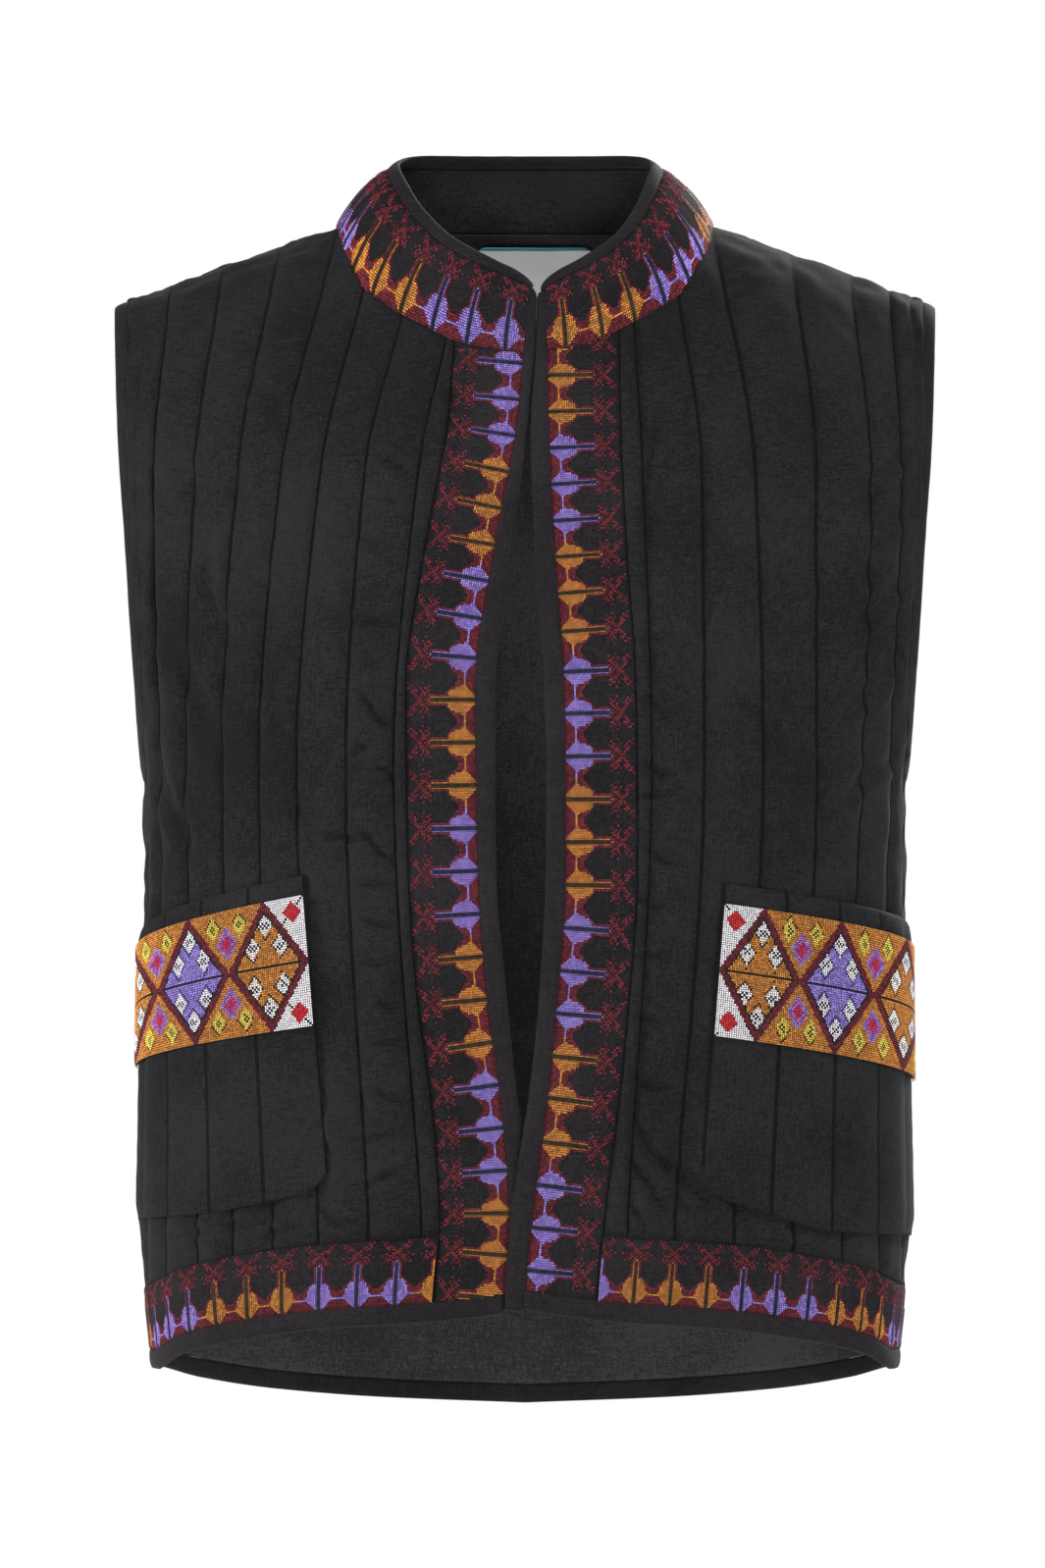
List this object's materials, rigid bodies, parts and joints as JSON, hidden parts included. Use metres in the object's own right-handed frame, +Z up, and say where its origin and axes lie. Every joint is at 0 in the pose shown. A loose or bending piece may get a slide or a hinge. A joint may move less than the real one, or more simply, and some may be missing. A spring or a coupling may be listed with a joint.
{
  "type": "quilted vest",
  "caption": "Sleeveless quilted vest with a stand collar, an open front, embroidered edge bands and two patch pockets, filled out as when worn.",
  "frame": {"origin": "midway between the shoulders at the height of the sides of the neck, where the wearer holds it up", "axes": "+Z up, -Y towards the garment's front, +X towards the wearer's left side"},
  "size_m": [0.4212, 0.2635, 0.6374],
  "materials": {
    "black_cotton": "plain-woven black cotton over thin wadding, matt with a faint sheen",
    "black_binding": "black cotton bias binding, matt",
    "front_embroidery": "black cotton cross-stitched in maroon, violet and mustard thread",
    "pocket_embroidery": "closely cross-stitched in mustard, violet, maroon, yellow and white thread",
    "label_cloth": "plain white woven tape, blank"
  },
  "bodies": {
    "root": {"back": "black_cotton", "front_right": "black_cotton", "front_left": "black_cotton", "pocket_right": "black_cotton", "pocket_left": "black_cotton", "collar": "front_embroidery", "front_band_right": "front_embroidery", "front_band_left": "front_embroidery", "hem_band_right": "front_embroidery", "hem_band_left": "front_embroidery", "pocket_strip_right": "pocket_embroidery", "pocket_strip_left": "pocket_embroidery", "neck_binding": "black_binding", "front_binding_right": "black_binding", "front_binding_left": "black_binding", "hem_binding_right": "black_binding", "hem_binding_left": "black_binding", "hem_binding_back": "black_binding", "armhole_binding_right": "black_binding", "armhole_binding_left": "black_binding", "neck_label": "label_cloth"}
  },
  "joints": []
}
